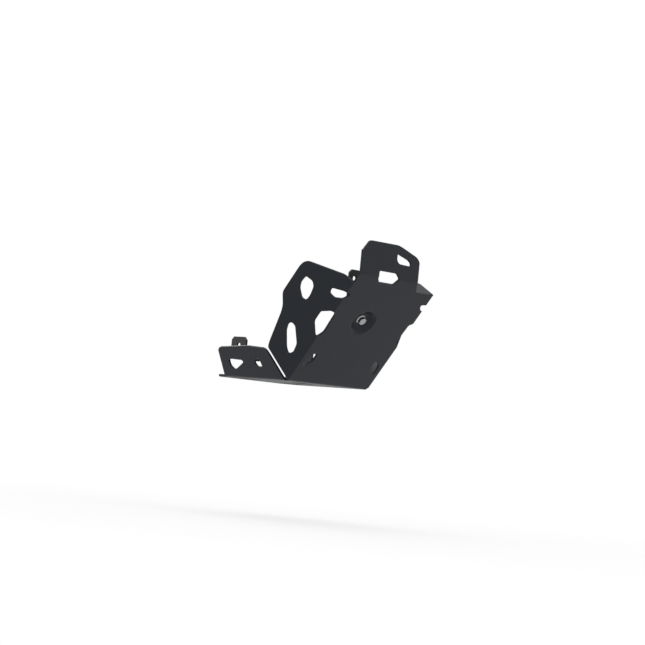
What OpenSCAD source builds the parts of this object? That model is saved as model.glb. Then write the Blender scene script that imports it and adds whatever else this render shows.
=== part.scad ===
// Skid plate for a motorcycle engine: one folded and pressed aluminium sheet,
// with the brackets, bolts, spacers and washers that carry it.
// Millimetres. +X points forwards, +Y to the machine's left and +Z up.
// The origin is the centre of the flat underside.
//
// Panels are measured along their outer face, from fold line to fold line.
// A fold line is where the outer faces of two panels would meet if the fold were sharp.

/* [Sheet] */
// Thickness of the aluminium sheet
sheet_t = 4; // [3:0.5:5]
// Inside radius of every fold in the sheet
fold_r = 2.5; // [2:0.5:4]
// Easing of the corners of cut-outs and outlines
corner_ease = 3.5; // [2:0.5:5]

/* [Base panel] */
// Width between the two side fold lines
base_w = 200; // [185:5:230]
// Length from the rear edge to the front fold line
base_l = 200; // [185:5:230]
// Chamfer of the two rear corners
base_corner = 22; // [8:1:26]
// Radius of the access hole for the oil drain plug
drain_r = 20; // [14:1:26]
// Distance of the drain hole behind the front fold line
drain_back = 64; // [50:1:80]

/* [Front ramp] */
// Slope of the ramp above the base
ramp_angle = 51; // [44:1:58]
// Length of the ramp, from the front fold line to the neck fold line
ramp_l = 240; // [230:5:265]
// Drop of the left shoulder below the neck fold line
shoulder_drop = 20; // [14:1:26]
// Distance of the two lower vent slots from the side fold lines
vent_inset = 20; // [17:1:28]

/* [Neck] */
// Slope of the neck above the base
neck_angle = 90; // [80:1:92]
// Height of the neck above its fold line
neck_l = 58; // [50:1:80]
// Distance of the neck's left edge from the middle of the ramp
neck_left = 44; // [36:1:60]
// Length of the neck window across the fold
window_w = 51; // [30:1:60]
// Distance of the window's left tip from the neck's left edge
window_inset = 45; // [34:1:52]

/* [Side wings] */
// Fold of the front wings out of the ramp
front_wing_fold = 60; // [50:1:75]
// Width of the front wings
front_wing_w = 92; // [84:1:105]
// How much lower the left front wing's top end is than the right one's
left_wing_drop = 7; // [0:1:8]
// Fold of the rear wings out of the base
rear_wing_fold = 60; // [50:1:75]
// Height of the rear wings, along the wing
rear_wing_w = 60; // [50:1:75]
// Length of the rear wings' lower edge
rear_wing_l = 151; // [140:1:160]
// Distance of the rear wings' front end behind the front fold line
rear_wing_gap = 6.8; // [6:0.2:9]

/* [Pressed bolt dishes] */
// Radius of a dish at its rim
dish_r = 27.3; // [24:0.1:30]
// Radius of a dish's flat floor
dish_floor_r = 12; // [11:0.5:15]
// Depth of a dish
dish_depth = 10; // [9:0.5:12]
// Distance of the front dish up the ramp
front_dish_up = 141.5; // [130:0.5:152]
// Distance of the front dish from the middle, to the left
front_dish_left = -16.5; // [-24:0.5:0]
// Distance of the rear dishes behind the front fold line
rear_dish_back = 148; // [135:1:152]
// Distance of each rear dish from the middle
rear_dish_side = 58; // [50:1:62]

/* [Bolts and nuts] */
// Thread diameter of the bolts
bolt_d = 8; // [8:1:10]
// Length of the bolts under the head
bolt_l = 40; // [38:1:50]
// Width across the flats of the bolt heads and nuts
hex_af = 13; // [13:1:16]
// Height of a bolt head or nut with its flange
hex_h = 8; // [7:0.5:9]
// Diameter of the flange of a bolt head or nut
flange_d = 17.9; // [17.5:0.1:21]
// Thickness of that flange at its rim
flange_t = 1.4; // [1:0.1:2]
// Chamfer at the end of the bolts' thread
thread_chamfer = 1; // [0.5:0.1:1.5]
// Play between a bolt's thread and its nut, on the radius
thread_play = 0.05; // [0.02:0.01:0.1]
// Clearance of a bolt in each hole, on the diameter
hole_clearance = 1; // [0.6:0.1:1.4]

/* [Washers and spacers] */
// Outer diameter of the rubber washers
rubber_d = 22; // [19:1:24]
// Thickness of the rubber washers
rubber_t = 2.5; // [1.5:0.5:4]
// Outer diameter of the steel washers
washer_d = 24; // [20:1:28]
// Thickness of the steel washers
washer_t = 2; // [1.5:0.5:3]
// Outer diameter of the spacer sleeves
spacer_d = 16; // [14:0.5:18]
// Length of the spacer sleeves
spacer_l = 14; // [10:1:16]

/* [Brackets] */
// Thickness of the steel brackets
bracket_t = 4; // [3:0.5:5]
// Inside radius of the folds in the brackets
bracket_r = 4; // [3:0.5:6]
// Width of the front bracket
front_bracket_w = 70; // [62:1:90]
// Length of the front bracket's foot below its bolt
front_foot_below = 22; // [14:1:28]
// Length of the front bracket's foot above its bolt
front_foot_above = 26; // [24:1:34]
// Length of the front bracket's upright leg
front_leg_l = 48; // [40:1:60]
// Distance between the two holes in the front bracket's leg
front_hole_gap = 44; // [36:1:48]
// Diameter of the holes that take the machine's own bolts
mount_hole_d = 9; // [8.4:0.1:11]
// Distance of those holes from the end of their leg or ear
hole_edge = 15; // [10:1:16]
// Chamfer of the brackets' corners
bracket_chamfer = 5.5; // [2:0.5:8]
// Width between the outsides of the two rear brackets' ears
rear_bracket_w = 168; // [160:1:176]
// Length of each rear bracket along the machine
rear_bracket_l = 38; // [30:1:46]
// Length of each rear bracket's foot, across the machine
rear_foot_l = 42; // [40:1:56]
// Height of the rear brackets' ears
rear_ear_h = 40; // [36:1:62]

/* [Hidden] */
$fn = 64;

// Flat facets in each fold
fold_steps = 6;
// Steps across the curved wall of a dish
dish_steps = 10;
// The wings and the dishes are this much thinner on each face than the sheet
skin = 0.01;
// Overlap of a wing or a dish with the panel that carries it
lap = 2;
// Room that a cutting shape has past the sheet
past = 4;
// Large enough to reach past any outline
beyond = 400;

fold_out = fold_r + sheet_t;
half_w = base_w / 2;
wing_bend = setback(front_wing_fold, fold_out);
rear_bend = setback(rear_wing_fold, fold_out);
// The main strip ends where the wider of the two side folds begins
side_bend = max(wing_bend, rear_bend);
strip_w = base_w - 2 * side_bend;
shoulder_up = ramp_l - shoulder_drop;
bolt_hole_r = (bolt_d + hole_clearance) / 2;
floor_in = dish_depth + sheet_t;
washer_in = floor_in + rubber_t;
spacer_in = washer_in + washer_t;
bracket_in = spacer_in + spacer_l;
nut_in = bracket_in + bracket_t;
bracket_out = bracket_r + bracket_t;

black = [0.2, 0.21, 0.23];
zinc = [0.78, 0.79, 0.8];
steel = [0.16, 0.16, 0.17];
rubber = [0.07, 0.07, 0.07];

// Folded sections

// How far a fold of this angle reaches from its fold line
function setback(angle, out_r) = out_r * tan(angle / 2);
function heading(a) = [cos(a), sin(a)];
function inward(a) = [-sin(a), cos(a)];

// Place of fold line i of a strip that starts at p
function fold_line(p, lengths, angles, i) =
    i == 0 ? p : fold_line(p, lengths, angles, i - 1) + lengths[i - 1] * heading(angles[i - 1]);

// One face of the strip, this deep under its outer face
function face(p, lengths, angles, out_r, deep) = [
    for (i = [0:len(lengths)])
        let (line = fold_line(p, lengths, angles, i))
        if (i == 0) line + deep * inward(angles[0])
        else if (i == len(lengths)) line + deep * inward(angles[i - 1])
        else
            let (turn = angles[i] - angles[i - 1])
            let (back = setback(turn, out_r))
            let (centre = line - back * heading(angles[i - 1]) + out_r * inward(angles[i - 1]))
            for (k = [0:fold_steps])
                centre - (out_r - deep) * inward(angles[i - 1] + turn * k / fold_steps)
];

// Closed outline of a folded strip, from its outer face to depth t, less a skin on each face
function strip(p, lengths, angles, out_r, t, less = 0) = concat(
    face(p, lengths, angles, out_r, less),
    [for (q = [for (r = [face(p, lengths, angles, out_r, t - less)]) for (i = [len(r) - 1:-1:0]) r[i]]) q]
);

// A closed outline with every corner eased by a short curve
function eased(points, ease = corner_ease, steps = 3) = [
    for (i = [0:len(points) - 1])
        let (here = points[i])
        let (last = points[(i + len(points) - 1) % len(points)] - here)
        let (next = points[(i + 1) % len(points)] - here)
        let (a = here + last * min(ease, norm(last) * 0.4) / norm(last))
        let (b = here + next * min(ease, norm(next) * 0.4) / norm(next))
        for (k = [0:steps])
            let (f = k / steps)
            a * (1 - f) * (1 - f) + here * 2 * f * (1 - f) + b * f * f
];

// Places

module base_frame() translate([base_l / 2, 0, 0]) children();
module ramp_frame() base_frame() rotate([0, -ramp_angle, 0]) children();
module neck_frame()
    ramp_frame() translate([ramp_l, 0, 0]) rotate([0, ramp_angle - neck_angle, 0]) children();
module wing_frame(fold) translate([0, half_w, 0]) rotate([fold, 0, 0]) children();
module both_sides() {
    children();
    mirror([0, 1, 0]) children();
}
module front_dish_place() ramp_frame() translate([front_dish_up, front_dish_left, 0]) children();
module rear_dish_place(side)
    base_frame() translate([-rear_dish_back, side * rear_dish_side, 0]) children();

// The plate's outlines: [distance forwards or up, distance out from the fold line]

// A front wing's top edge slopes one in three, from its corner to the shoulder
wing_corner = [18, 15];
function front_wing_outline(top) = [
    [3.6, -past * 3], [3.6, 3], [27.3, 60], [38, 63.4], [96, 75], [107, 79],
    [124, front_wing_w - 1.5], [130, front_wing_w], [top - wing_corner[0] - 18, front_wing_w],
    [top - wing_corner[0] - 9, front_wing_w - 2], [top - wing_corner[0] - 3, front_wing_w - 7],
    [top - wing_corner[0], front_wing_w - wing_corner[1]],
    [shoulder_up + 1, front_wing_w - wing_corner[1] - 3 * (shoulder_up + 1 - top + wing_corner[0])],
    [shoulder_up + 1, -past * 3]
];
rear_wing_start = -rear_wing_gap;
rear_wing_end = rear_wing_start - rear_wing_l;
rear_wing_outline = [
    [rear_wing_end, -past * 3], [rear_wing_end, 1], [rear_wing_end + 4, rear_wing_w - 7.5],
    [rear_wing_end + 10, rear_wing_w - 2.5], [rear_wing_start - 67, rear_wing_w + 2],
    [rear_wing_start - 29, rear_wing_w - 0.5], [rear_wing_start - 22.5, rear_wing_w - 4],
    [rear_wing_start - 18.5, rear_wing_w - 12], [rear_wing_start, 1.8],
    [rear_wing_start, -past * 3]
];

// Windows in the front wings, and two that run across the fold into the ramp
wing_windows = [
    [[shoulder_up - 44.5, 58.5], [shoulder_up - 44.5, 73], [shoulder_up - 59, 74.5],
        [shoulder_up - 69, 70.5], [shoulder_up - 81, 58], [shoulder_up - 79.5, 50.5],
        [shoulder_up - 70, 48.8], [shoulder_up - 51.5, 52]],
    [[92, 49], [90.5, 41], [66, 21.5], [50, 18.5], [41.5, 24], [49, 33], [74, 49.5], [86, 53]]
];
fold_windows = [
    [[shoulder_up - 42, 23.5], [shoulder_up - 32.5, 25], [shoulder_up - 28, 15],
        [shoulder_up - 23, 3.5], [shoulder_up - 23, -4], [shoulder_up - 24.5, -12.5],
        [shoulder_up - 30, -11.5], [shoulder_up - 37.5, -3.5], [shoulder_up - 37.5, 3.5],
        [shoulder_up - 43.5, 12]],
    [[99.5, -3.5], [99.5, 3.5], [119.5, 18.3], [141, 18.3], [153.8, 3.5], [153.8, -3.5],
        [149.5, -9], [110, -11]]
];
rear_wing_windows = [
    [[rear_wing_end + 24, 34.5], [rear_wing_end + 55, 36.5], [rear_wing_end + 61, 30.5],
        [rear_wing_end + 37, 16.5], [rear_wing_end + 30, 14.5], [rear_wing_end + 23, 22]],
    [[rear_wing_start - 56, 37.5], [rear_wing_start - 47.5, 38.5], [rear_wing_start - 44.5, 23],
        [rear_wing_start - 58, 22.5], [rear_wing_start - 62.5, 30]]
];
// A vent slot in the ramp, from its middle
vent_slot = [
    [34.5, 6.5], [40, 9], [53.5, 7.5], [61.5, 1], [64, -6.5], [57, -10], [46, -8.7], [36.5, 1]
];
// The neck window: [distance above the fold line, distance left of the middle]
window_tip = neck_left - window_inset;
neck_window = [
    [9.7, window_tip - window_w], [9.7, window_tip - 8], [1, window_tip],
    [-12.9, window_tip - 5.5], [-12.9, window_tip - window_w + 9], [-3, window_tip - window_w]
];
neck_slot = [
    [neck_l - 14.5, neck_left - 56], [neck_l - 22.5, neck_left - 28], [neck_l - 27.5, neck_left - 20.5],
    [neck_l - 32.5, neck_left - 22], [neck_l - 31.5, neck_left - 50], [neck_l - 26, neck_left - 56]
];

// Cuts a flat shape through the sheet of the frame it stands in
module cut() translate([0, 0, -past]) linear_extrude(height = sheet_t + 2 * past) children();

// Keeps what lies past the middle plane of a fold along X, out of the panel or in it
module outside_fold(fold) intersection() {
    children();
    rotate([-fold / 2, 0, 0]) translate([-beyond, -skin, -beyond]) cube(2 * beyond);
}
module inside_fold(fold) intersection() {
    children();
    rotate([fold / 2, 0, 0]) translate([-beyond, skin - 2 * beyond, -beyond]) cube(2 * beyond);
}

// The plate

// Base, ramp and neck: one strip folded twice
module main_strip() base_frame() rotate([90, 0, 0])
    linear_extrude(height = strip_w, center = true)
        polygon(strip([-base_l, 0], [base_l, ramp_l, neck_l], [0, ramp_angle, neck_angle],
            fold_out, sheet_t));

// A wing with its fold, along one side of a panel
module wing(from, to, fold, reach, outline) intersection() {
    translate([from, half_w, 0]) rotate([90, 0, 90]) linear_extrude(height = to - from)
        polygon(strip([-side_bend - lap, 0], [side_bend + lap, reach], [0, fold],
            fold_out, sheet_t, skin));
    wing_frame(fold) cut() polygon(eased(outline));
}

module front_wing(top) ramp_frame()
    wing(0, ramp_l, front_wing_fold, front_wing_w + past, front_wing_outline(top));
module rear_wing() base_frame()
    wing(-base_l, 0, rear_wing_fold, rear_wing_w + past, rear_wing_outline);

// Pressed dish: its wall follows half a cosine wave from the rim to the floor
function dish_wall(lift) = [
    for (k = [0:dish_steps])
        let (f = k / dish_steps)
        [dish_r + (dish_floor_r - dish_r) * f, lift + dish_depth * (1 - cos(180 * f)) / 2]
];
module dish() rotate_extrude() polygon(concat(
    [[dish_r + lap, skin]], dish_wall(skin), [[bolt_hole_r, dish_depth + skin]],
    [[bolt_hole_r, floor_in - skin]],
    [for (w = [dish_wall(sheet_t - skin)]) for (i = [len(w) - 1:-1:0]) w[i]],
    [[dish_r + lap, sheet_t - skin]]
));
module dish_hole() translate([0, 0, -past]) cylinder(h = sheet_t + 2 * past, r = dish_r);

// Chamfered rear corner of the base
module base_corner_cut() base_frame() cut() polygon([
    [-base_l - past, strip_w / 2 - base_corner - past], [-base_l - past, strip_w / 2 + past],
    [-base_l + base_corner + past, strip_w / 2 + past]
]);

// Clears the ramp to the left of the neck, down to the shoulder
module shoulder_cut() ramp_frame() cut() polygon(eased([
    [shoulder_up, half_w * 1.5], [shoulder_up, neck_left + 13], [shoulder_up + 4, neck_left + 8],
    [shoulder_up + 12, neck_left + 3], [ramp_l, neck_left], [ramp_l + beyond, neck_left],
    [ramp_l + beyond, half_w * 1.5]
]));

// Trims the neck to its outline, with a chamfer [down, across] at its right corner
neck_chamfer = [19, 16];
neck_outline = [
    [-sheet_t, -half_w * 1.5], [neck_l - neck_chamfer[0], -half_w * 1.5],
    [neck_l - neck_chamfer[0], -strip_w / 2], [neck_l, -strip_w / 2 + neck_chamfer[1]],
    [neck_l, neck_left - 57], [neck_l - 2, neck_left - 47], [neck_l - 15, neck_left - 8],
    [neck_l - 22, neck_left], [-sheet_t, neck_left]
];
module neck_cut() neck_frame() cut() difference() {
    translate([-sheet_t / 2, -base_w]) square([neck_l + base_w, 2 * base_w]);
    polygon(eased(neck_outline));
}

// Opens a window across the fold between the ramp and the neck
module neck_window_cut() {
    half_fold = (neck_angle - ramp_angle) / 2;
    neck_frame() intersection() {
        cut() polygon(eased(neck_window));
        rotate([0, half_fold, 0]) translate([-skin, -beyond, -beyond]) cube(2 * beyond);
    }
    ramp_frame() translate([ramp_l, 0, 0]) intersection() {
        cut() polygon(eased(neck_window));
        rotate([0, -half_fold, 0]) translate([skin - 2 * beyond, -beyond, -beyond])
            cube(2 * beyond);
    }
}

// Windows and slots of one side
module side_cuts() {
    ramp_frame() {
        wing_frame(front_wing_fold) for (w = wing_windows) cut() polygon(eased(w));
        wing_frame(front_wing_fold) outside_fold(front_wing_fold)
            for (w = fold_windows) cut() polygon(eased(w));
        translate([0, half_w, 0]) inside_fold(front_wing_fold)
            for (w = fold_windows) cut() polygon(eased(w));
        translate([0, half_w - vent_inset, 0]) cut() polygon(eased(vent_slot));
    }
    base_frame() wing_frame(rear_wing_fold)
        for (w = rear_wing_windows) cut() polygon(eased(w));
    base_corner_cut();
}

module skid_plate() color(black) {
    difference() {
        union() {
            difference() {
                main_strip();
                front_dish_place() dish_hole();
                for (side = [-1, 1]) rear_dish_place(side) dish_hole();
                shoulder_cut();
                neck_cut();
            }
            front_wing(shoulder_up - left_wing_drop);
            mirror([0, 1, 0]) front_wing(shoulder_up);
            both_sides() rear_wing();
            front_dish_place() dish();
            for (side = [-1, 1]) rear_dish_place(side) dish();
        }
        both_sides() side_cuts();
        neck_window_cut();
        neck_frame() cut() polygon(eased(neck_slot));
        base_frame() translate([-drain_back, 0, -past])
            cylinder(h = sheet_t + 2 * past, r = drain_r);
    }
}

// Fasteners, along +Z from the outer face of the sheet into the machine

// Hexagon with chamfered corners and a sloped flange, standing on z = 0 and pointing up
module flanged_hex() {
    crown_r = hex_af * 0.45;
    flange_edge = flange_t / 5;
    intersection() {
        cylinder(h = hex_h, d = hex_af / cos(30), $fn = 6);
        rotate_extrude() polygon([
            [0, 0], [hex_af, 0], [hex_af, hex_h - (hex_af - crown_r) * tan(30)],
            [crown_r, hex_h], [0, hex_h]
        ]);
    }
    rotate_extrude() polygon([
        [0, 0], [flange_d / 2 - flange_edge, 0], [flange_d / 2, flange_edge],
        [flange_d / 2, flange_t - flange_edge], [flange_d / 2 - flange_edge, flange_t],
        [crown_r, 2 * flange_t], [0, 2 * flange_t]
    ]);
}
module bolt() color(zinc) translate([0, 0, dish_depth]) {
    thread_r = bolt_d / 2 - thread_play;
    rotate([180, 0, 0]) flanged_hex();
    rotate_extrude() polygon([
        [0, -lap], [thread_r, -lap], [thread_r, bolt_l - thread_chamfer],
        [thread_r - thread_chamfer, bolt_l], [0, bolt_l]
    ]);
}
module nut() color(zinc) translate([0, 0, nut_in]) difference() {
    flanged_hex();
    translate([0, 0, -past]) cylinder(h = hex_h + 2 * past, d = bolt_d);
}
// A plain ring with a small chamfer on its four edges
module ring(outer_d, thick, edge) rotate_extrude() polygon([
    [bolt_hole_r + edge, 0], [outer_d / 2 - edge, 0], [outer_d / 2, edge],
    [outer_d / 2, thick - edge], [outer_d / 2 - edge, thick], [bolt_hole_r + edge, thick],
    [bolt_hole_r, thick - edge], [bolt_hole_r, edge]
]);
module rubber_washer() color(rubber) translate([0, 0, floor_in]) ring(rubber_d, rubber_t, 0.4);
module washer() color(zinc) translate([0, 0, washer_in]) ring(washer_d, washer_t, 0.2);
module spacer() color(zinc) translate([0, 0, spacer_in]) ring(spacer_d, spacer_l, 0.5);

// Brackets

// Front bracket: a foot along the ramp and an upright leg with two holes
foot_start = front_dish_up - front_foot_below;
foot_l = front_foot_below + front_foot_above;
leg_foot = [
    foot_start * cos(ramp_angle) - bracket_in * sin(ramp_angle),
    foot_start * sin(ramp_angle) + bracket_in * cos(ramp_angle)
];
leg_place = leg_foot + foot_l * heading(ramp_angle);
module front_bracket() color(steel) base_frame() translate([0, front_dish_left, 0]) difference() {
    rotate([90, 0, 0]) linear_extrude(height = front_bracket_w, center = true)
        polygon(strip(leg_foot, [foot_l, front_leg_l], [ramp_angle, 90], bracket_out, bracket_t));
    rotate([0, -ramp_angle, 0]) translate([front_dish_up, 0, bracket_in - past])
        cylinder(h = bracket_t + 2 * past, r = bolt_hole_r);
    for (side = [-1, 1])
        translate([leg_place[0], side * front_hole_gap / 2, leg_place[1] + front_leg_l - hole_edge])
            rotate([0, -90, 0]) translate([0, 0, -past])
                cylinder(h = bracket_t + 2 * past, d = mount_hole_d);
    for (side = [-1, 1]) for (corner = front_bracket_ends)
        translate([corner[0], side * front_bracket_w / 2, corner[1]])
            rotate([0, -corner[2], 0]) corner_bevel();
}
// Both ends of the front bracket: [x, z, heading]
front_bracket_ends = [
    [leg_foot[0], leg_foot[1], ramp_angle],
    [leg_place[0], leg_place[1] + front_leg_l, 90]
];
// Takes the corner off a bracket's end: Z points through the bracket's sheet
module corner_bevel() rotate([0, 0, 45])
    cube([bracket_chamfer * sqrt(2), bracket_chamfer * sqrt(2), 4 * bracket_out], center = true);

// Rear bracket of the left side: a foot on the spacer and an ear with one hole
module rear_left_bracket() color(steel) base_frame() translate([-rear_dish_back, 0, 0]) difference() {
    translate([-rear_bracket_l / 2, 0, 0]) rotate([90, 0, 90])
        linear_extrude(height = rear_bracket_l)
            polygon(strip([rear_bracket_w / 2 - rear_foot_l, bracket_in],
                [rear_foot_l, rear_ear_h], [0, 90], bracket_out, bracket_t));
    translate([0, rear_dish_side, bracket_in - past])
        cylinder(h = bracket_t + 2 * past, r = bolt_hole_r);
    translate([0, rear_bracket_w / 2 + past, bracket_in + rear_ear_h - hole_edge])
        rotate([90, 0, 0]) cylinder(h = bracket_t + 2 * past, d = mount_hole_d);
    for (end = [-1, 1]) {
        translate([end * rear_bracket_l / 2, rear_bracket_w / 2 - rear_foot_l, bracket_in])
            corner_bevel();
        translate([end * rear_bracket_l / 2, rear_bracket_w / 2, bracket_in + rear_ear_h])
            rotate([90, 0, 0]) corner_bevel();
    }
}

skid_plate();
front_dish_place() bolt();  // front_bolt
front_dish_place() rubber_washer();  // front_rubber_washer
front_dish_place() washer();  // front_washer
front_dish_place() spacer();  // front_spacer
front_bracket();
front_dish_place() nut();  // front_nut
rear_dish_place(1) bolt();  // rear_left_bolt
rear_dish_place(1) rubber_washer();  // rear_left_rubber_washer
rear_dish_place(1) washer();  // rear_left_washer
rear_dish_place(1) spacer();  // rear_left_spacer
rear_left_bracket();
rear_dish_place(1) nut();  // rear_left_nut
rear_dish_place(-1) bolt();  // rear_right_bolt
rear_dish_place(-1) rubber_washer();  // rear_right_rubber_washer
rear_dish_place(-1) washer();  // rear_right_washer
rear_dish_place(-1) spacer();  // rear_right_spacer
mirror([0, 1, 0]) rear_left_bracket();  // rear_right_bracket
rear_dish_place(-1) nut();  // rear_right_nut
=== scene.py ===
"""Folded and powder-coated skid plate with its bolts, nuts, washers, spacers and brackets."""
import logging
import math
from collections.abc import Callable, Iterator, Sequence
from contextlib import contextmanager
from dataclasses import dataclass
from enum import Enum

import bmesh
import bpy
from mathutils import Matrix, Vector


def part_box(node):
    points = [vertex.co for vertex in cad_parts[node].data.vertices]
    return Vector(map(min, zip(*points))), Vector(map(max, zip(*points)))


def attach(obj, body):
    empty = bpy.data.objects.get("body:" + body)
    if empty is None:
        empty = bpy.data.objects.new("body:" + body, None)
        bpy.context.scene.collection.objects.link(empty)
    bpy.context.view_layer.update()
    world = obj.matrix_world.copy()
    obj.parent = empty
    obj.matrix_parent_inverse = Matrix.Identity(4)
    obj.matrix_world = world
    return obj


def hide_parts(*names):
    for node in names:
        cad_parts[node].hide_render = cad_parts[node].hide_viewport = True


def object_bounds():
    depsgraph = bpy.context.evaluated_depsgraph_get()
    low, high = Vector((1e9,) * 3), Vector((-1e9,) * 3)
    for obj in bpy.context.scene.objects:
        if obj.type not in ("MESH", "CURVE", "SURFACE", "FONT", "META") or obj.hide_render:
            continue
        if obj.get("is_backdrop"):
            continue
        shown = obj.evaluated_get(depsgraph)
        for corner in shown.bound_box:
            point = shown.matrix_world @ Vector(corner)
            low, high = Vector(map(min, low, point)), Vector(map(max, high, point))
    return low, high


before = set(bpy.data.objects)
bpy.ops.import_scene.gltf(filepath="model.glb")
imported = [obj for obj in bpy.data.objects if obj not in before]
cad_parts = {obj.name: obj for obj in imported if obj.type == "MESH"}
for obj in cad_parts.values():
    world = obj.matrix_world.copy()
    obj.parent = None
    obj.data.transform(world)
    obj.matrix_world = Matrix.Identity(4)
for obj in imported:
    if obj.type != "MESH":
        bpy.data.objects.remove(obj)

log = logging.getLogger("skid_plate")
MM = 0.001
# In millimetres: how near doubled corners lie, how far a cutting tool overshoots, and how
# far solids that are joined reach into each other.
WELD = 0.002
SPARE = 1.0
OVERLAP = 2.0
BODY = "root"
WHITE = (1.0, 1.0, 1.0, 1.0)
Colour = tuple[float, float, float]
Profile = Sequence[tuple[float, float]]


def shade(colour: Colour, factor: float) -> Colour:
    """Multiplies a colour by a factor."""
    return tuple(factor * part for part in colour)


# Shaders

class Value:
    """A number or colour that a node gives out; arithmetic on it adds Math nodes."""

    def __init__(self, recipe: "Recipe", socket: bpy.types.NodeSocket | None) -> None:
        """Wraps a socket.

        Args:
            recipe: The node tree that the socket is in.
            socket: An output socket of one of its nodes, or None for a node that has none.
        """
        self.recipe = recipe
        self.socket = socket

    def math(self, operation: str, *operands: "Value | float") -> "Value":
        """Adds a Math node.

        Args:
            operation: The Math node's operation.
            operands: Its inputs, in order.

        Returns:
            The node's result.
        """
        return self.recipe.add("ShaderNodeMath", dict(enumerate(operands)), operation=operation)

    def __add__(self, other: "Value | float") -> "Value":
        """The sum."""
        return self.math("ADD", self, other)

    def __radd__(self, other: float) -> "Value":
        """The sum, with a number first."""
        return self.math("ADD", other, self)

    def __mul__(self, other: "Value | float") -> "Value":
        """The product."""
        return self.math("MULTIPLY", self, other)

    def __rmul__(self, other: float) -> "Value":
        """The product, with a number first."""
        return self.math("MULTIPLY", other, self)

    def wave(self) -> "Value":
        """The sine of the value."""
        return self.math("SINE", self)

    def over(self, other: "Value | float") -> "Value":
        """The larger of the two."""
        return self.math("MAXIMUM", self, other)


class Recipe:
    """The node tree of one material or of the world."""

    def __init__(self, owner: bpy.types.Material | bpy.types.World) -> None:
        """Empties the owner's node tree.

        Args:
            owner: A material or a world.
        """
        owner.use_nodes = True
        self.owner = owner
        self.tree = owner.node_tree
        self.tree.nodes.clear()

    def add(self, kind: str, inputs: dict[int | str, object] | None = None,
            output: int | str = 0, **settings: object) -> Value:
        """Adds a node, with its settings first and then its inputs.

        Args:
            kind: The node's type.
            inputs: Values or links, by socket name or number.
            output: The output that is given back.
            settings: The node's own settings; stops are a ramp's (place, grey) pairs.

        Returns:
            The chosen output.
        """
        node = self.tree.nodes.new(kind)
        stops = settings.pop("stops", None)
        for name, setting in settings.items():
            setattr(node, name, setting)
        if stops:
            for element, (place, grey) in zip(node.color_ramp.elements, stops):
                element.position = place
                element.color = (grey, grey, grey, 1)
        for key, given in (inputs or {}).items():
            if isinstance(given, Value):
                self.tree.links.new(given.socket, node.inputs[key])
            else:
                node.inputs[key].default_value = given
        return Value(self, node.outputs[output] if node.outputs else None)

    def place(self) -> Value:
        """Object coordinates, in metres."""
        return self.add("ShaderNodeTexCoord", output="Object")

    def noise(self, size: float, detail: float = 2, roughness: float = 0.5) -> Value:
        """Adds cloudy noise from 0 to 1.

        Args:
            size: The size of its clouds, in metres.
            detail: How many finer layers it has.
            roughness: How strong the finer layers are.

        Returns:
            The noise's value.
        """
        return self.add("ShaderNodeTexNoise", {
            "Vector": self.place(), "Scale": 1 / size, "Detail": detail, "Roughness": roughness,
        }, "Fac")

    def step(self, value: Value, low: float, high: float) -> Value:
        """Turns a value into a soft step.

        Args:
            value: The value that is read.
            low: Where the step is still 0.
            high: Where it has reached 1.

        Returns:
            The step, from 0 to 1.
        """
        return self.add("ShaderNodeValToRGB", {"Fac": value}, stops=((low, 0), (high, 1)))

    def blend(self, share: Value | float, low: Value | Colour, high: Value | Colour) -> Value:
        """Mixes two colours.

        Args:
            share: 0 for the first colour and 1 for the second.
            low: The first colour.
            high: The second colour.

        Returns:
            The mixed colour.
        """
        first, second = ((*end, 1) if isinstance(end, tuple) else end for end in (low, high))
        # Inputs 6 and 7 and output 2 of the Mix node are its colours.
        return self.add("ShaderNodeMix", {0: share, 6: first, 7: second}, 2, data_type="RGBA")

    def relief(self, height: Value, depth: float, strength: float) -> Value:
        """Adds a bump.

        Args:
            height: The surface's height from 0 to 1.
            depth: What a height of 1 stands for, in metres.
            strength: How much of it shows.

        Returns:
            The bumped normal.
        """
        return self.add("ShaderNodeBump", {
            "Height": height, "Distance": depth, "Strength": strength,
        }, "Normal")

    def close(self, shader: Value) -> None:
        """Links a shader to the output."""
        kind = "World" if isinstance(self.owner, bpy.types.World) else "Material"
        self.add(f"ShaderNodeOutput{kind}", {"Surface": shader})


# Finishes

@dataclass(frozen=True)
class Finish:
    """A surface finish, made into a material the first time it is used."""

    label: str

    def material(self) -> bpy.types.Material:
        """The finish's own material."""
        made = bpy.data.materials.get(self.label)
        if made is None:
            made = bpy.data.materials.new(self.label)
            recipe = Recipe(made)
            recipe.close(self.mix(recipe))
        return made

    def mix(self, recipe: Recipe) -> Value:
        """Adds the finish's nodes; each kind of finish has its own."""
        raise NotImplementedError(self.label)


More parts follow.
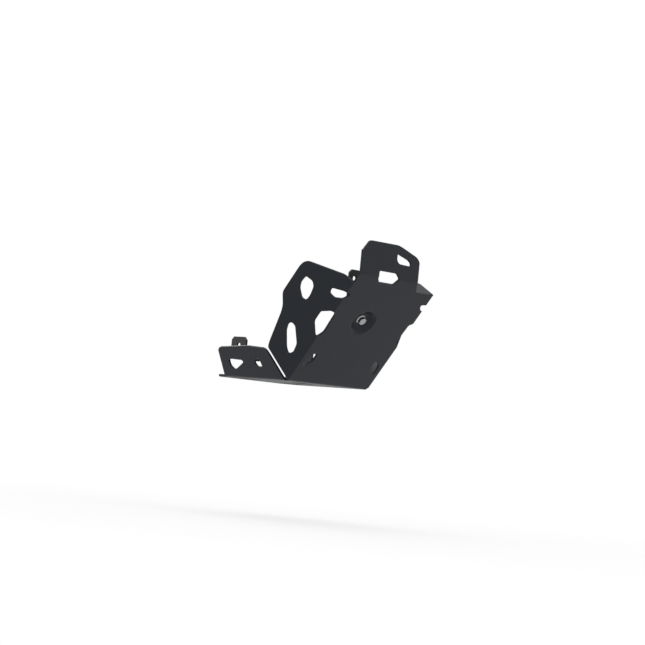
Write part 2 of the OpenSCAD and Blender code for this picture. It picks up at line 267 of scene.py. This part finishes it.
@dataclass(frozen=True)
class PowderCoat(Finish):
    """Fine-grained matt powder coat, baked on aluminium."""

    colour: Colour = (0.0042, 0.0067, 0.0112)
    # pale lightens the whole coat; the rims use it to paint a highlight along the cut edges.
    pale: float = 1.0
    pit_tone: float = 0.4
    peak_tone: float = 1.8
    roughness: float = 0.37
    cloud_haze: float = 0.10
    grain_haze: float = 0.08
    grain_size: float = 0.8 * MM
    peel_size: float = 4.5 * MM
    cloud_size: float = 85 * MM
    cloud_share: float = 0.25
    grain_edge: tuple[float, float] = (0.38, 0.62)
    relief_depth: float = 0.18 * MM
    relief_grain: float = 0.6
    dust_size: float = 0.7 * MM
    dust_edge: tuple[float, float] = (0.62, 0.78)
    dust_share: float = 0.08
    dust_colour: Colour = (0.10, 0.105, 0.11)
    gloss_level: float = 0.27

    def mix(self, recipe: Recipe) -> Value:
        """Adds the coat's nodes.

        Args:
            recipe: The material's node tree.

        Returns:
            The shader.
        """
        grain = recipe.noise(self.grain_size, detail=3, roughness=0.6)
        peel = recipe.noise(self.peel_size, detail=1)
        cloud = recipe.noise(self.cloud_size, detail=3)
        dust = recipe.step(recipe.noise(self.dust_size), *self.dust_edge)
        peaks = recipe.step(grain, *self.grain_edge)
        body = recipe.blend(self.cloud_share * cloud + (1 - self.cloud_share) * peaks,
                            shade(self.colour, self.pale * self.pit_tone),
                            shade(self.colour, self.pale * self.peak_tone))
        height = self.relief_grain * grain + (1 - self.relief_grain) * peel
        return recipe.add("ShaderNodeBsdfPrincipled", {
            "Base Color": recipe.blend(self.dust_share * dust, body, self.dust_colour),
            "Roughness": self.roughness + self.cloud_haze * cloud + self.grain_haze * grain,
            "Normal": recipe.relief(height, self.relief_depth, strength=0.8),
            "Specular IOR Level": self.gloss_level,
        })


@dataclass(frozen=True)
class ZincPlate(Finish):
    """Bright zinc plating on steel, with a faint warm and cool tint."""

    colour: Colour = (0.31, 0.325, 0.35)
    warm: Colour = (0.35, 0.345, 0.335)
    roughness: float = 0.24
    haze: float = 0.16
    cloud_size: float = 5 * MM
    crystal_size: float = 0.35 * MM
    crystal_depth: float = 0.02 * MM

    def mix(self, recipe: Recipe) -> Value:
        """Adds the plating's nodes.

        Args:
            recipe: The material's node tree.

        Returns:
            The shader.
        """
        cloud = recipe.noise(self.cloud_size, detail=3)
        crystals = recipe.noise(self.crystal_size)
        return recipe.add("ShaderNodeBsdfPrincipled", {
            "Base Color": recipe.blend(cloud, self.colour, self.warm),
            "Metallic": 1.0,
            "Roughness": self.roughness + self.haze * cloud * crystals,
            "Normal": recipe.relief(crystals, self.crystal_depth, strength=0.4),
        })


@dataclass(frozen=True)
class TurnedSteel(Finish):
    """Lathe-turned steel, with the tool's rings round its axis."""

    colour: Colour = (0.56, 0.56, 0.57)
    dull_tone: float = 0.8
    roughness: float = 0.30
    axis: tuple[float, float, float] = (0, 0, 1)
    feed: float = 0.28 * MM
    ring_depth: float = 0.012 * MM
    ring_share: float = 0.25
    ring_haze: float = 0.10
    cloud_size: float = 6 * MM
    cloud_share: float = 0.6
    cloud_haze: float = 0.08

    def mix(self, recipe: Recipe) -> Value:
        """Adds the steel's nodes.

        Args:
            recipe: The material's node tree.

        Returns:
            The shader.
        """
        along = recipe.add("ShaderNodeVectorMath", {0: recipe.place(), 1: self.axis}, "Value",
                           operation="DOT_PRODUCT")
        rings = 0.5 + 0.5 * (along * (math.tau / self.feed)).wave()
        cloud = recipe.noise(self.cloud_size, detail=3)
        return recipe.add("ShaderNodeBsdfPrincipled", {
            "Base Color": recipe.blend(self.cloud_share * cloud + self.ring_share * rings,
                                       self.colour, shade(self.colour, self.dull_tone)),
            "Metallic": 1.0,
            "Roughness": self.roughness + self.ring_haze * rings + self.cloud_haze * cloud,
            "Normal": recipe.relief(rings, self.ring_depth, strength=0.6),
        })


@dataclass(frozen=True)
class BracketPaint(Finish):
    """Black dip paint on bent steel, a little glossier than the plate's coat."""

    colour: Colour = (0.006, 0.0064, 0.0072)
    speck_tone: float = 2.4
    speck_size: float = 0.9 * MM
    speck_relief: float = 0.25
    peel_size: float = 2.6 * MM
    relief_depth: float = 0.16 * MM
    cloud_size: float = 30 * MM
    cloud_share: float = 0.5
    roughness: float = 0.32
    haze: float = 0.18

    def mix(self, recipe: Recipe) -> Value:
        """Adds the paint's nodes.

        Args:
            recipe: The material's node tree.

        Returns:
            The shader.
        """
        peel = recipe.noise(self.peel_size)
        specks = recipe.noise(self.speck_size)
        cloud = recipe.noise(self.cloud_size, detail=4, roughness=0.6)
        height = (1 - self.speck_relief) * peel + self.speck_relief * specks
        share = self.cloud_share * cloud + (1 - self.cloud_share) * specks
        return recipe.add("ShaderNodeBsdfPrincipled", {
            "Base Color": recipe.blend(share, self.colour, shade(self.colour, self.speck_tone)),
            "Roughness": self.roughness + self.haze * cloud,
            "Normal": recipe.relief(height, self.relief_depth, strength=0.7),
            "IOR": 1.5,
        })


@dataclass(frozen=True)
class Rubber(Finish):
    """Moulded black rubber with a grey bloom."""

    colour: Colour = (0.010, 0.010, 0.010)
    bloom: Colour = (0.030, 0.030, 0.031)
    bloom_size: float = 4 * MM
    pore_size: float = 0.4 * MM
    pore_depth: float = 0.05 * MM
    roughness: float = 0.62
    haze: float = 0.22

    def mix(self, recipe: Recipe) -> Value:
        """Adds the rubber's nodes.

        Args:
            recipe: The material's node tree.

        Returns:
            The shader.
        """
        cloud = recipe.noise(self.bloom_size, detail=4, roughness=0.65)
        pores = recipe.noise(self.pore_size)
        return recipe.add("ShaderNodeBsdfPrincipled", {
            "Base Color": recipe.blend(cloud, self.colour, self.bloom),
            "Roughness": self.roughness + self.haze * cloud,
            "Normal": recipe.relief(pores, self.pore_depth, strength=0.5),
        })


# Mesh work

class Pick(Enum):
    """What edit mode selects."""

    CORNER = "VERT"
    EDGE = "EDGE"
    FACE = "FACE"


class Fusion(Enum):
    """How two solids are joined."""

    ADD = "UNION"
    CUT = "DIFFERENCE"
    KEEP_COMMON = "INTERSECT"


class Bench:
    """A workpiece on the bench: one mesh that hand tools shape step by step."""

    def __init__(self, piece: bpy.types.Object) -> None:
        """Takes an object onto the bench."""
        self.piece = piece

    @classmethod
    def primitive(cls, operator: Callable[..., set[str]], **sizes: object) -> "Bench":
        """Adds a primitive.

        Args:
            operator: The operator that adds it.
            sizes: The operator's own settings.

        Returns:
            The bench that holds it.
        """
        bpy.ops.object.select_all(action="DESELECT")
        operator(**sizes)
        bench = cls(bpy.context.view_layer.objects.active)
        bench.take()
        bpy.ops.object.transform_apply(location=True, rotation=True, scale=True)
        return bench

    @classmethod
    def copy_of(cls, source: bpy.types.Object) -> "Bench":
        """Copies an object with its own mesh and without its materials.

        Args:
            source: The object that is copied; it stays as it is.

        Returns:
            The bench that holds the copy.
        """
        twin = bpy.data.objects.new(f"{source.name}_copy", source.data.copy())
        bpy.context.scene.collection.objects.link(twin)
        twin.data.materials.clear()
        return cls(twin)

    @classmethod
    def traced(cls, profile: Profile) -> "Bench":
        """Draws a profile in the XZ plane, edge by edge.

        Args:
            profile: Its corners as (radius, height) in millimetres.

        Returns:
            The bench that holds the line.
        """
        bench = cls.primitive(bpy.ops.mesh.primitive_plane_add, size=2 * MM)
        points = [Vector((radius * MM, 0, height * MM)) for radius, height in profile]
        with bench.edit(Pick.CORNER):
            bpy.ops.mesh.select_all(action="SELECT")
            bpy.ops.mesh.merge(type="CENTER")
            bpy.ops.transform.translate(value=points[0])
            for last, point in zip(points, points[1:]):
                bpy.ops.mesh.extrude_region_move(TRANSFORM_OT_translate={"value": point - last})
        return bench

    @classmethod
    def turned(cls, profile: Profile, steps: int = 48) -> "Bench":
        """Turns a profile about the Z axis, as on a lathe.

        Args:
            profile: Corners as (radius, height) in millimetres; a ring's last is its first.
            steps: The facets of the full turn.

        Returns:
            The bench that holds the turned solid.
        """
        bench = cls.traced(profile)
        with bench.edit(Pick.CORNER):
            bpy.ops.mesh.select_all(action="SELECT")
            bpy.ops.mesh.spin(steps=steps, angle=math.tau, center=(0, 0, 0), axis=(0, 0, 1))
            bpy.ops.mesh.select_all(action="SELECT")
            bpy.ops.mesh.remove_doubles(threshold=WELD * MM)
            bpy.ops.mesh.normals_make_consistent(inside=False)
        return bench

    def take(self) -> None:
        """Makes this piece the only one selected."""
        bpy.ops.object.select_all(action="DESELECT")
        self.piece.select_set(True)
        bpy.context.view_layer.objects.active = self.piece

    @contextmanager
    def edit(self, what: Pick = Pick.FACE) -> Iterator[None]:
        """Opens the mesh in edit mode with nothing selected, and closes it again.

        Args:
            what: Whether corners, edges or faces are selected.
        """
        self.take()
        bpy.ops.object.mode_set(mode="EDIT")
        bpy.ops.mesh.select_mode(type=what.value)
        bpy.ops.mesh.select_all(action="DESELECT")
        yield
        bpy.ops.object.mode_set(mode="OBJECT")

    def merge_flat(self, weld: float, angle: float = 0.5) -> None:
        """Merges near corners and dissolves the edges inside flat faces.

        Args:
            weld: How near corners are merged, in millimetres.
            angle: The most that a face may turn and still be flat, in degrees.
        """
        with self.edit(Pick.EDGE):
            bpy.ops.mesh.select_all(action="SELECT")
            bpy.ops.mesh.remove_doubles(threshold=weld * MM)
            bpy.ops.mesh.dissolve_limited(angle_limit=math.radians(angle))

    def pick_rims(self, angle: float, shortest: float) -> None:
        """Selects cut edges in edit mode, away from corners where a bevel would overrun.

        Args:
            angle: The least angle of a cut edge, in degrees.
            shortest: The shortest edge that may meet a picked one, in millimetres.
        """
        shape = bmesh.from_edit_mesh(self.piece.data)
        sharp = {edge for edge in shape.edges
                 if len(edge.link_faces) == 2 and edge.calc_face_angle(0) > math.radians(angle)}
        open_ends = {
            corner for corner in shape.verts
            if sum(edge in sharp for edge in corner.link_edges) != 2
            or min(edge.calc_length() for edge in corner.link_edges) < shortest * MM}
        for edge in sharp:
            edge.select_set(not open_ends.intersection(edge.verts))
        bmesh.update_edit_mesh(self.piece.data)

    def pick_faces(self, test: Callable[[Vector, Vector], bool]) -> None:
        """Selects faces in edit mode.

        Args:
            test: Says from a face's centre and normal whether it is picked.
        """
        shape = bmesh.from_edit_mesh(self.piece.data)
        for face in shape.faces:
            face.select_set(test(face.calc_center_median(), face.normal))
        bmesh.update_edit_mesh(self.piece.data)

    def modify(self, kind: str, **settings: object) -> None:
        """Adds a modifier and applies it.

        Args:
            kind: The modifier's type.
            settings: The modifier's own settings.
        """
        self.take()
        modifier = self.piece.modifiers.new(kind.lower(), kind)
        for name, setting in settings.items():
            setattr(modifier, name, setting)
        bpy.ops.object.modifier_apply(modifier=modifier.name)

    def fuse(self, tool: "Bench", how: Fusion) -> None:
        """Joins another workpiece to this one and uses it up.

        Args:
            tool: The other workpiece.
            how: Whether it is added, cut away or kept in common.
        """
        self.modify("BOOLEAN", object=tool.piece, operation=how.value, solver="EXACT")
        bpy.data.objects.remove(tool.piece, do_unlink=True)

    def round_edges(self, width: float, angle: float, segments: int = 2) -> None:
        """Rounds the sharp edges.

        Args:
            width: How far the rounding reaches, in millimetres.
            angle: The least angle of an edge that is rounded, in degrees.
            segments: The facets of the rounding.
        """
        self.modify("BEVEL", width=width * MM, segments=segments, limit_method="ANGLE",
                    angle_limit=math.radians(angle), use_clamp_overlap=True)

    def smooth(self, angle: float) -> None:
        """Shades the piece smooth, with its flat faces kept flat.

        Args:
            angle: The least angle of an edge that stays sharp, in degrees.
        """
        self.take()
        bpy.ops.object.shade_smooth_by_angle(angle=math.radians(angle))
        self.modify("WEIGHTED_NORMAL", keep_sharp=True, weight=80)

    def hand_over(self, name: str, finishes: Sequence[Finish], slot: str, node: str) -> None:
        """Names and dresses the piece and puts it in the place of a node.

        Args:
            name: The piece's name.
            finishes: Its finishes, in the order of its material slots.
            slot: The record's material slot; not used.
            node: The node that it stands for.
        """
        self.piece.name = self.piece.data.name = name
        self.piece.data.materials.clear()
        for finish in finishes:
            self.piece.data.materials.append(finish.material())
        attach(self.piece, BODY)
        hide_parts(node)
        log.info("%s: %d faces", name, len(self.piece.data.polygons))


# Sub-assemblies

@dataclass
class FoldedPlate:
    """The folded sheet: base, ramp, neck and wings, with rounded laser-cut edges."""

    weld: float = 0.3
    rim_angle: float = 50
    rim_round: float = 0.4
    shortest_edge: float = 0.6
    coat: PowderCoat = PowderCoat("powder_coat_panels")
    # The rims take a paler coat: a painted highlight along every cut edge, partly also the
    # thinner coat there.
    rim_coat_and_painted_highlight: PowderCoat = PowderCoat("powder_coat_rims", pale=1.25, roughness=0.29)

    def build(self) -> None:
        """Rounds every cut edge of the sheet and coats it, with the rims paler as a painted
        highlight.
        """
        bench = Bench.copy_of(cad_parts["skid_plate"])
        bench.merge_flat(self.weld)
        with bench.edit(Pick.EDGE):
            bench.pick_rims(self.rim_angle, self.shortest_edge)
            # The bevel's faces take the second, paler finish, which paints a highlight along the
            # rims.
            bpy.ops.mesh.bevel(offset=self.rim_round * MM, segments=2, affect="EDGES",
                               clamp_overlap=False, material=1)
        bench.smooth(angle=40)
        bench.hand_over("coated_sheet", (self.coat, self.rim_coat_and_painted_highlight), "powder_coat", "skid_plate")


@dataclass(frozen=True)
class Hexagon:
    """The flanged hexagon that the bolts and the nuts share, standing on z = 0."""

    flats: float = 13
    height: float = 8
    crown: float = 5.85
    crown_slope: float = 30
    edge_round: float = 0.18
    flange: float = 17.9
    flange_height: float = 1.4
    flange_chamfer: float = 0.28

    def build(self) -> Bench:
        """Models the hexagon and its flange.

        Returns:
            The bench that holds it.
        """
        corner_turn = math.pi / 6
        body = Bench.primitive(
            bpy.ops.mesh.primitive_cylinder_add, vertices=6, depth=self.height * MM,
            radius=self.flats / 2 / math.cos(corner_turn) * MM,
            location=(0, 0, self.height / 2 * MM), rotation=(0, 0, corner_turn))
        slope = (self.flats - self.crown) * math.tan(math.radians(self.crown_slope))
        body.fuse(Bench.turned((
            (0, -SPARE), (self.flats, -SPARE), (self.flats, self.height - slope),
            (self.crown, self.height), (0, self.height))), Fusion.KEEP_COMMON)
        body.round_edges(self.edge_round, angle=20)
        rim, cut, top = self.flange / 2, self.flange_chamfer, self.flange_height
        skirt = Bench.turned((
            (0, 0), (rim - cut, 0), (rim, cut), (rim, top - cut), (rim - cut, top),
            (self.crown, 2 * top), (0, 2 * top)), steps=64)
        body.fuse(skirt, Fusion.ADD)
        return body


@dataclass(frozen=True)
class Thread:
    """A rolled metric thread.

    Its depth, and the half widths of its ridge at crest and root, are shares of its pitch.
    """

    major: float = 3.95
    pitch: float = 1.25
    depth: float = 0.613
    crest: float = 1 / 16
    root: float = 0.375
    start: float = 17.2
    end: float = 40.0
    sunk: float = 0.25
    lead: float = 0.5
    lead_rise: float = 0.3
    lead_drop: float = 0.2
    steps: int = 36

    @property
    def minor(self) -> float:
        """The thread's root radius."""
        return self.major - self.depth * self.pitch

    def ridge(self) -> Bench:
        """Models the thread's ridge, sunk a little into the core.

        Returns:
            The bench that holds it.
        """
        crest, root = self.crest * self.pitch, self.root * self.pitch
        base = self.minor - self.sunk
        section = ((base, -root), (self.minor, -root), (self.major, -crest),
                   (self.major, crest), (self.minor, root), (base, root), (base, -root))
        ridge = Bench.traced([(radius, self.start + height) for radius, height in section])
        with ridge.edit(Pick.CORNER):
            bpy.ops.mesh.select_all(action="SELECT")
            bpy.ops.mesh.remove_doubles(threshold=WELD * MM)
        turns = math.ceil((self.end - self.start) / self.pitch) + 1
        ridge.modify("SCREW", axis="Z", angle=math.tau, screw_offset=self.pitch * MM,
                     iterations=turns, steps=self.steps, render_steps=self.steps)
        with ridge.edit(Pick.EDGE):
            bpy.ops.mesh.select_non_manifold()
            bpy.ops.mesh.fill_holes(sides=0)
            bpy.ops.mesh.select_all(action="SELECT")
            bpy.ops.mesh.normals_make_consistent(inside=False)
        return ridge

    def build(self) -> Bench:
        """Models the threaded end of a bolt.

        Returns:
            The bench that holds it.
        """
        hidden = self.start - OVERLAP
        low, high = hidden - SPARE, self.end + 2 * SPARE
        core = Bench.turned(((0, low), (self.minor, low), (self.minor, high), (0, high)))
        core.fuse(self.ridge(), Fusion.ADD)
        lead = self.major - self.minor + self.lead
        clear, tip = self.major + self.lead_rise, self.minor - self.lead_drop
        core.fuse(Bench.turned((
            (0, hidden), (clear, hidden), (clear, self.end - lead), (tip, self.end),
            (0, self.end))), Fusion.KEEP_COMMON)
        return core


@dataclass(frozen=True)
class Ring:
    """A washer or a spacer, whose lower face is at the height of its seat.

    Outer is its diameter, hole is its hole's radius, and edge is the rounding of its edges.
    Bulge is how far the middle of its outer wall swells.
    """

    seat: float
    outer: float
    thick: float
    edge: float
    bulge: float = 0
    hole: float = 4.5
    facets: int = 64

    @property
    def middle(self) -> float:
        """The height of its middle."""
        return self.seat + self.thick / 2

    def build(self) -> Bench:
        """Models the ring.

        Returns:
            The bench that holds it.
        """
        low, high, reach = self.seat, self.seat + self.thick, self.outer / 2 - self.bulge
        wall = [(reach, low), (reach, high)]
        if self.bulge:
            turns = [math.pi * step / 6 for step in range(1, 6)]
            wall[1:1] = [(reach + self.bulge * math.sin(turn),
                          low + self.thick * (1 - math.cos(turn)) / 2) for turn in turns]
        outline = [(self.hole, low), *wall, (self.hole, high), (self.hole, low)]
        ring = Bench.turned(outline, self.facets)
        ring.round_edges(self.edge, angle=50, segments=3)
        ring.smooth(angle=40)
        return ring


@dataclass(frozen=True)
class Station:
    """One bolted place: the axis of its bolt and the pieces along it."""

    name: str

    def place(self, washer_middle: float) -> Matrix:
        """Works out the place where the bolt's axis meets the panel's outer face.

        Args:
            washer_middle: The height of the washer's middle over that face.

        Returns:
            The placement, with Z along the bolt from its head to its nut.
        """
        washer, spacer = (
            (low + high) / 2 for low, high in
            (map(Vector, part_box(f"{self.name}_{piece}")) for piece in ("washer", "spacer")))
        inwards = (spacer - washer).normalized()
        across = Vector((0, 1, 0))
        start = washer - inwards * washer_middle * MM
        turn = Matrix((across.cross(inwards), across, inwards)).transposed()
        return Matrix.Translation(start) @ turn.to_4x4()


@dataclass
class Fasteners:
    """Bolts, nuts, washers, rubber washers and spacers of the three bolted places.

    Seats are heights over the panel's outer face. The ends of the shank, and of the cone
    that leads from it to the thread's root, are measured from the thread's start.
    """

    stations: tuple[Station, ...] = (
        Station("front"), Station("rear_left"), Station("rear_right"))
    hexagon: Hexagon = Hexagon()
    thread: Thread = Thread()
    rubber_washer: Ring = Ring(seat=14, outer=22, thick=2.5, edge=0.3, bulge=0.45)
    washer: Ring = Ring(seat=16.5, outer=24, thick=2, edge=0.25)
    spacer: Ring = Ring(seat=18.5, outer=16, thick=14, edge=0.5)
    head_seat: float = 10
    nut_seat: float = 36.5
    shank: float = 3.93
    shank_end: float = 0.3
    cone_end: float = 1.0
    recess_rim: float = 1.3
    recess_depth: float = 0.4
    recess_taper: float = 0.93
    nut_bore: float = 4.0
    nut_sink: float = 0.7
    shading_angle: float = 32
    zinc: ZincPlate = ZincPlate("zinc_bolt")
    washer_zinc: ZincPlate = ZincPlate("zinc_washer", roughness=0.34)
    rubber: Rubber = Rubber("rubber_ring")

    def bolt(self) -> Bench:
        """Models the flanged bolt with its recessed head and rolled thread.

        Returns:
            The bench that holds it, with z = 0 at the panel's outer face.
        """
        near_top, upward = (self.hexagon.height - 0.01) * MM, 0.9
        bolt = self.hexagon.build()
        with bolt.edit():
            bolt.pick_faces(lambda centre, normal: centre.z > near_top and normal.z > upward)
            bpy.ops.mesh.inset(thickness=self.recess_rim * MM, depth=0)
            bpy.ops.mesh.extrude_region_move(
                TRANSFORM_OT_translate={"value": (0, 0, -self.recess_depth * MM)})
            bpy.ops.transform.resize(value=(self.recess_taper, self.recess_taper, 1))
        bolt.piece.data.transform(Matrix.Rotation(math.pi, 4, "X"))
        start = self.thread.start
        shank = Bench.turned((
            (0, -OVERLAP), (self.shank, -OVERLAP), (self.shank, start + self.shank_end),
            (self.thread.minor, start + self.cone_end), (0, start + self.cone_end)))
        bolt.fuse(shank, Fusion.ADD)
        bolt.fuse(self.thread.build(), Fusion.ADD)
        bolt.piece.data.transform(Matrix.Translation((0, 0, self.head_seat * MM)))
        bolt.smooth(self.shading_angle)
        return bolt

    def nut(self) -> Bench:
        """Models the flanged nut with its countersunk bore.

        Returns:
            The bench that holds it.
        """
        nut = self.hexagon.build()
        tall, sink = self.hexagon.height, self.nut_sink
        mouth = self.nut_bore + sink + SPARE
        nut.fuse(Bench.turned((
            (0, -SPARE), (mouth, -SPARE), (self.nut_bore, sink), (self.nut_bore, tall - sink),
            (mouth, tall + SPARE), (0, tall + SPARE))), Fusion.CUT)
        nut.piece.data.transform(Matrix.Translation((0, 0, self.nut_seat * MM)))
        nut.smooth(self.shading_angle)
        return nut

    def build(self) -> None:
        """Models each fastener once and copies it to its stations."""
        patterns = {
            "bolt": (self.bolt(), "zinc"),
            "nut": (self.nut(), "zinc"),
            "washer": (self.washer.build(), "zinc"),
            "rubber_washer": (self.rubber_washer.build(), "rubber"),
            "spacer": (self.spacer.build(), "zinc"),
        }
        for station in self.stations:
            place = station.place(self.washer.middle)
            turned = TurnedSteel(f"turned_steel_{station.name}", axis=tuple(place.col[2].xyz))
            finishes = {"bolt": self.zinc, "nut": self.zinc, "washer": self.washer_zinc,
                        "rubber_washer": self.rubber, "spacer": turned}
            for kind, (pattern, slot) in patterns.items():
                twin = Bench.copy_of(pattern.piece)
                twin.piece.data.transform(place)
                twin.hand_over(f"{station.name}_{kind}_piece", (finishes[kind],), slot,
                               f"{station.name}_{kind}")
        for pattern, _ in patterns.values():
            bpy.data.objects.remove(pattern.piece, do_unlink=True)


@dataclass
class Brackets:
    """The bent steel brackets between the spacers and the nuts."""

    nodes: tuple[str, ...] = ("front_bracket", "rear_left_bracket", "rear_right_bracket")
    weld: float = 0.02
    edge_round: float = 0.5
    edge_angle: float = 40
    paint: BracketPaint = BracketPaint("bracket_paint")

    def build(self) -> None:
        """Rounds the brackets' edges and paints them."""
        for node in self.nodes:
            bench = Bench.copy_of(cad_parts[node])
            bench.merge_flat(self.weld)
            bench.round_edges(self.edge_round, self.edge_angle)
            bench.smooth(self.edge_angle)
            bench.hand_over(f"{node}_piece", (self.paint,), "bracket_steel", node)


# Studio

@dataclass(frozen=True)
class Lamp:
    """A square soft light that faces the part, with its size in metres and power in watts."""

    name: str
    place: tuple[float, float, float]
    size: float
    power: float
    colour: Colour = (1, 1, 1)

    def hang(self, target: Vector) -> None:
        """Adds the lamp.

        Args:
            target: The point that it faces.
        """
        light = bpy.data.lights.new(self.name, "AREA")
        light.shape, light.size = "SQUARE", self.size
        light.energy, light.color = self.power, self.colour
        holder = bpy.data.objects.new(self.name, light)
        holder.location = self.place
        holder.rotation_euler = (Vector(self.place) - target).to_track_quat("Z", "Y").to_euler()
        holder.visible_camera = False
        bpy.context.scene.collection.objects.link(holder)


@dataclass
class Studio:
    """Camera, pale floor, white surround and soft lamps.

    Lengths are in metres, but the lens and its sensor are in millimetres. Angles are in degrees.
    """

    camera_place: tuple[float, float, float] = (2.8239, -2.6986, -0.1007)
    azimuth: float = 45.559
    elevation: float = -3.119
    roll: float = 5.270
    lens: float = 122.79
    sensor: float = 36
    far_clip: float = 50
    floor_height: float = -0.24
    floor_size: float = 16
    floor_fade: float = 1.2
    floor_colour: Colour = (0.93, 0.93, 0.93)
    floor_roughness: float = 0.9
    surround: float = 0.68
    lamps: tuple[Lamp, ...] = (
        Lamp("key_lamp", (2.4, 0.6, 2.2), 1.6, 12),
        Lamp("side_lamp", (0.6, -3.2, 1.0), 2.4, 5, (0.85, 0.93, 1.0)),
        Lamp("top_lamp", (-0.2, 0.3, 3.2), 2.4, 26),
        Lamp("back_lamp", (-2.6, 1.6, 1.9), 1.2, 16),
    )

    def place_camera(self) -> None:
        """Adds the camera at the photograph's viewpoint."""
        turn, rise, roll = map(math.radians, (self.azimuth, self.elevation, self.roll))
        ahead = Vector((-math.sin(turn) * math.cos(rise), math.cos(turn) * math.cos(rise),
                        -math.sin(rise)))
        level = Vector((math.cos(turn), math.sin(turn), 0))
        upright = level.cross(ahead)
        right = math.cos(roll) * level + math.sin(roll) * upright
        up = math.cos(roll) * upright - math.sin(roll) * level
        view = bpy.data.cameras.new("photo_view")
        view.lens, view.sensor_width, view.clip_end = self.lens, self.sensor, self.far_clip
        camera = bpy.data.objects.new("photo_view", view)
        camera.matrix_world = (Matrix.Translation(self.camera_place)
                               @ Matrix((right, up, -ahead)).transposed().to_4x4())
        bpy.context.scene.collection.objects.link(camera)
        bpy.context.scene.camera = camera

    @staticmethod
    def seen_ray(recipe: Recipe) -> Value:
        """Finds the rays that see the background directly, in gloss or through glass.

        Args:
            recipe: The node tree.

        Returns:
            1 for a camera, glossy or transmission ray, otherwise 0.
        """
        camera, glossy, clear = (
            recipe.add("ShaderNodeLightPath", output=f"Is {kind} Ray")
            for kind in ("Camera", "Glossy", "Transmission"))
        return camera.over(glossy).over(clear)

    def light_surround(self) -> None:
        """Makes the surround white to the eye and softer as a light."""
        world = bpy.context.scene.world or bpy.data.worlds.new("surround")
        bpy.context.scene.world = world
        recipe = Recipe(world)
        strength = self.surround + (1 - self.surround) * self.seen_ray(recipe)
        recipe.close(recipe.add("ShaderNodeBackground", {"Color": WHITE, "Strength": strength}))

    def lay_floor(self) -> None:
        """Adds the pale floor, which fades to white far off and is clear from below."""
        bench = Bench.primitive(bpy.ops.mesh.primitive_plane_add, size=self.floor_size,
                                location=(0, 0, self.floor_height))
        material = bpy.data.materials.new("pale_floor")
        recipe = Recipe(material)
        reach = recipe.add("ShaderNodeVectorMath", {0: recipe.place()}, "Value",
                           operation="LENGTH")
        fade = recipe.add("ShaderNodeMapRange", {
            0: reach, 1: -self.floor_fade, 2: self.floor_fade})
        paper = recipe.add("ShaderNodeBsdfPrincipled", {
            "Base Color": (*self.floor_colour, 1), "Roughness": self.floor_roughness,
            "Specular IOR Level": 0.0})
        glow = recipe.add("ShaderNodeEmission", {"Color": WHITE, "Strength": 1.0})
        top = recipe.add("ShaderNodeMixShader", {
            0: fade * self.seen_ray(recipe), 1: paper, 2: glow})
        clear = recipe.add("ShaderNodeBsdfTransparent")
        below = recipe.add("ShaderNodeNewGeometry", output="Backfacing")
        recipe.close(recipe.add("ShaderNodeMixShader", {0: below, 1: top, 2: clear}))
        bench.piece.name = "pale_floor"
        bench.piece.data.materials.append(material)
        bench.piece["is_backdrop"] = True

    def build(self, target: Vector) -> None:
        """Sets up the whole studio.

        Args:
            target: The middle of the part.
        """
        bpy.context.scene.view_settings.view_transform = "Standard"
        self.place_camera()
        self.light_surround()
        self.lay_floor()
        for lamp in self.lamps:
            lamp.hang(target)


def main() -> None:
    """Builds the part and its studio."""
    logging.basicConfig(level=logging.INFO, format="%(name)s %(message)s")
    cad_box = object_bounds()
    middle = (Vector(cad_box[0]) + Vector(cad_box[1])) / 2
    Studio().build(middle)
    FoldedPlate().build()
    Fasteners().build()
    Brackets().build()


if __name__ == "__main__":
    main()
